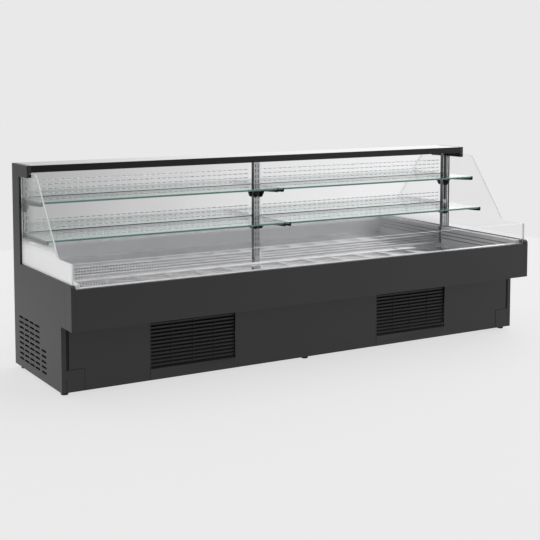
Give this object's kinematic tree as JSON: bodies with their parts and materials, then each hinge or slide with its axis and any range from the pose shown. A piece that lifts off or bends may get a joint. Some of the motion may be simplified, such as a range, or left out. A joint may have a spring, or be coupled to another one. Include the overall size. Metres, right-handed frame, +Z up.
{
  "type": "refrigerated deli case",
  "caption": "Open-front refrigerated deli case: black cabinet, louvred kick panel, stainless display tank, low front glass, shaped end glasses and two levels of glass shelves.",
  "frame": {"origin": "centre of the case's footprint, on the floor under its feet", "axes": "+X along the case to the customer's right, +Y to the back, +Z up; the open front faces -Y"},
  "size_m": [3, 0.868, 1.135],
  "materials": {
    "frame_steel": "satin",
    "foot_rubber": "matte",
    "black_sandwich_panel": "satin",
    "black_sheet": "satin",
    "header_gloss_black": "gloss",
    "lamp_diffuser": "satin",
    "grille_black": "satin",
    "clear_glass": "gloss",
    "shelf_glass": "gloss",
    "bracket_black": "satin",
    "tank_stainless": "satin",
    "stainless_sheet": "polished",
    "upright_steel": "satin",
    "coil_aluminium": "satin",
    "galvanised_sheet": "satin",
    "fan_plastic": "satin",
    "compressor_black": "gloss"
  },
  "bodies": {
    "case": {"back_panel": "black_sandwich_panel", "base_front_rail": "frame_steel", "base_left_crossbar": "frame_steel", "base_rear_rail": "frame_steel", "base_right_crossbar": "frame_steel", "compressor": "compressor_black", "condenser_coil": "coil_aluminium", "condenser_shroud": "galvanised_sheet", "control_box": "galvanised_sheet", "drain_pan": "stainless_sheet", "evaporator_coil": "coil_aluminium", "evaporator_fan_plate": "galvanised_sheet", "front_glass": "clear_glass", "front_panel": "black_sheet", "grille_left": "grille_black", "grille_right": "grille_black", "header_housing": "header_gloss_black", "header_lamp": "lamp_diffuser", "kick_panel_left": "black_sheet", "kick_panel_mid": "black_sheet", "kick_panel_right": "black_sheet", "left_end_glass": "clear_glass", "left_fascia_cap": "black_sandwich_panel", "left_side_panel": "black_sandwich_panel", "left_upright": "upright_steel", "lower_bracket_left": "bracket_black", "lower_bracket_mid": "bracket_black", "lower_bracket_right": "bracket_black", "machine_tray": "frame_steel", "mid_upright": "upright_steel", "rear_duct_cover": "stainless_sheet", "rear_wall_left": "stainless_sheet", "rear_wall_right": "stainless_sheet", "right_end_glass": "clear_glass", "right_fascia_cap": "black_sandwich_panel", "right_side_panel": "black_sandwich_panel", "right_upright": "upright_steel", "tank": "tank_stainless", "upper_bracket_left": "bracket_black", "upper_bracket_mid": "bracket_black", "upper_bracket_right": "bracket_black"},
    "foot_front_left": {"foot_front_left": "foot_rubber"},
    "foot_front_mid": {"foot_front_mid": "foot_rubber"},
    "foot_front_right": {"foot_front_right": "foot_rubber"},
    "foot_rear_left": {"foot_rear_left": "foot_rubber"},
    "foot_rear_mid": {"foot_rear_mid": "foot_rubber"},
    "foot_rear_right": {"foot_rear_right": "foot_rubber"},
    "upper_shelf_left": {"upper_shelf_left": "shelf_glass"},
    "upper_shelf_right": {"upper_shelf_right": "shelf_glass"},
    "lower_shelf_left": {"lower_shelf_left": "shelf_glass"},
    "lower_shelf_right": {"lower_shelf_right": "shelf_glass"},
    "deck_pan_1": {"deck_pan_1": "stainless_sheet"},
    "deck_pan_2": {"deck_pan_2": "stainless_sheet"},
    "deck_pan_3": {"deck_pan_3": "stainless_sheet"},
    "deck_pan_4": {"deck_pan_4": "stainless_sheet"},
    "deck_pan_5": {"deck_pan_5": "stainless_sheet"},
    "evaporator_fan_1": {"evaporator_fan_1": "fan_plastic"},
    "evaporator_fan_2": {"evaporator_fan_2": "fan_plastic"},
    "evaporator_fan_3": {"evaporator_fan_3": "fan_plastic"},
    "condenser_fan": {"condenser_fan": "fan_plastic"}
  },
  "joints": [
    {"name": "foot_front_left_height", "type": "slide", "parent": "case", "child": "foot_front_left", "axis": [0, 0, -1], "range_m": [0, 0.02]},
    {"name": "foot_front_mid_height", "type": "slide", "parent": "case", "child": "foot_front_mid", "axis": [0, 0, -1], "range_m": [0, 0.02]},
    {"name": "foot_front_right_height", "type": "slide", "parent": "case", "child": "foot_front_right", "axis": [0, 0, -1], "range_m": [0, 0.02]},
    {"name": "foot_rear_left_height", "type": "slide", "parent": "case", "child": "foot_rear_left", "axis": [0, 0, -1], "range_m": [0, 0.02]},
    {"name": "foot_rear_mid_height", "type": "slide", "parent": "case", "child": "foot_rear_mid", "axis": [0, 0, -1], "range_m": [0, 0.02]},
    {"name": "foot_rear_right_height", "type": "slide", "parent": "case", "child": "foot_rear_right", "axis": [0, 0, -1], "range_m": [0, 0.02]},
    {"name": "upper_shelf_left_lift", "type": "slide", "parent": "case", "child": "upper_shelf_left", "axis": [0, 0, 1], "range_m": [0, 0.1]},
    {"name": "upper_shelf_right_lift", "type": "slide", "parent": "case", "child": "upper_shelf_right", "axis": [0, 0, 1], "range_m": [0, 0.1]},
    {"name": "lower_shelf_left_lift", "type": "slide", "parent": "case", "child": "lower_shelf_left", "axis": [0, 0, 1], "range_m": [0, 0.1]},
    {"name": "lower_shelf_right_lift", "type": "slide", "parent": "case", "child": "lower_shelf_right", "axis": [0, 0, 1], "range_m": [0, 0.1]},
    {"name": "deck_pan_1_lift", "type": "slide", "parent": "case", "child": "deck_pan_1", "axis": [0, 0, 1], "range_m": [0, 0.12]},
    {"name": "deck_pan_2_lift", "type": "slide", "parent": "case", "child": "deck_pan_2", "axis": [0, 0, 1], "range_m": [0, 0.12]},
    {"name": "deck_pan_3_lift", "type": "slide", "parent": "case", "child": "deck_pan_3", "axis": [0, 0, 1], "range_m": [0, 0.12]},
    {"name": "deck_pan_4_lift", "type": "slide", "parent": "case", "child": "deck_pan_4", "axis": [0, 0, 1], "range_m": [0, 0.12]},
    {"name": "deck_pan_5_lift", "type": "slide", "parent": "case", "child": "deck_pan_5", "axis": [0, 0, 1], "range_m": [0, 0.12]},
    {"name": "evaporator_fan_1_spin", "type": "hinge", "parent": "case", "child": "evaporator_fan_1", "pos_m": [-0.75, -0.034, 0.378], "axis": [0, 1, 0], "continuous": true},
    {"name": "evaporator_fan_2_spin", "type": "hinge", "parent": "case", "child": "evaporator_fan_2", "pos_m": [0, -0.034, 0.378], "axis": [0, 1, 0], "continuous": true},
    {"name": "evaporator_fan_3_spin", "type": "hinge", "parent": "case", "child": "evaporator_fan_3", "pos_m": [0.75, -0.034, 0.378], "axis": [0, 1, 0], "continuous": true},
    {"name": "condenser_fan_spin", "type": "hinge", "parent": "case", "child": "condenser_fan", "pos_m": [-0.76, -0.1367, 0.165], "axis": [0, 1, 0], "continuous": true}
  ]
}
